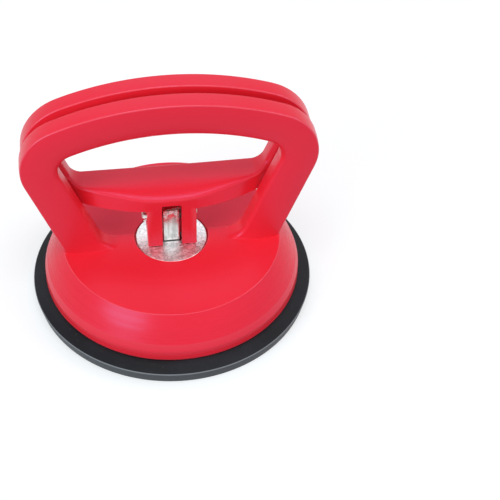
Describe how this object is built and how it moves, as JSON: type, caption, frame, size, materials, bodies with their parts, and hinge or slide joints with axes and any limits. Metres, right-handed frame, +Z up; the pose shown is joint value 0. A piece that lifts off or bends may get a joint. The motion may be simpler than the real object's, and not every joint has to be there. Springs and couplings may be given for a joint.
{
  "type": "vacuum suction lifter",
  "caption": "Hand vacuum lifter: round rubber suction pad under a red moulded body with a fixed grip loop and a hinged cam lever loop behind it.",
  "frame": {"origin": "centre of the rubber pad on the plane of its sealing lip", "axes": "+Z up, away from the surface it grips; +X along the grip loops; -Y is the front, the side of the fixed loop"},
  "size_m": [0.1196, 0.118, 0.1016],
  "materials": {
    "red_abs": "satin moulded ABS",
    "black_rubber": "matt",
    "zinc_plate": "bright zinc plate",
    "bare_steel": "sheared and turned steel"
  },
  "bodies": {
    "base": {"base_shell": "red_abs", "fixed_handle": "red_abs", "wear_washer": "zinc_plate", "rubber_pad": "black_rubber"},
    "stud_body": {"stud": "bare_steel", "insert_plate": "bare_steel"},
    "lever_body": {"lever": "red_abs", "pivot_pin": "bare_steel"}
  },
  "joints": [
    {"name": "stud_lift", "type": "slide", "parent": "base", "child": "stud_body", "axis": [0, 0, 1], "range_m": [-0.004, 0], "deforming": ["rubber_pad"]},
    {"name": "lever_turn", "type": "hinge", "parent": "stud_body", "child": "lever_body", "pos_m": [0, 0, 0.0388], "axis": [-1, 0, 0], "range_deg": [0, 60]}
  ],
  "couplings": [
    {"joint": "stud_lift", "follows": "lever_turn", "m_per_rad": -0.0038197}
  ]
}
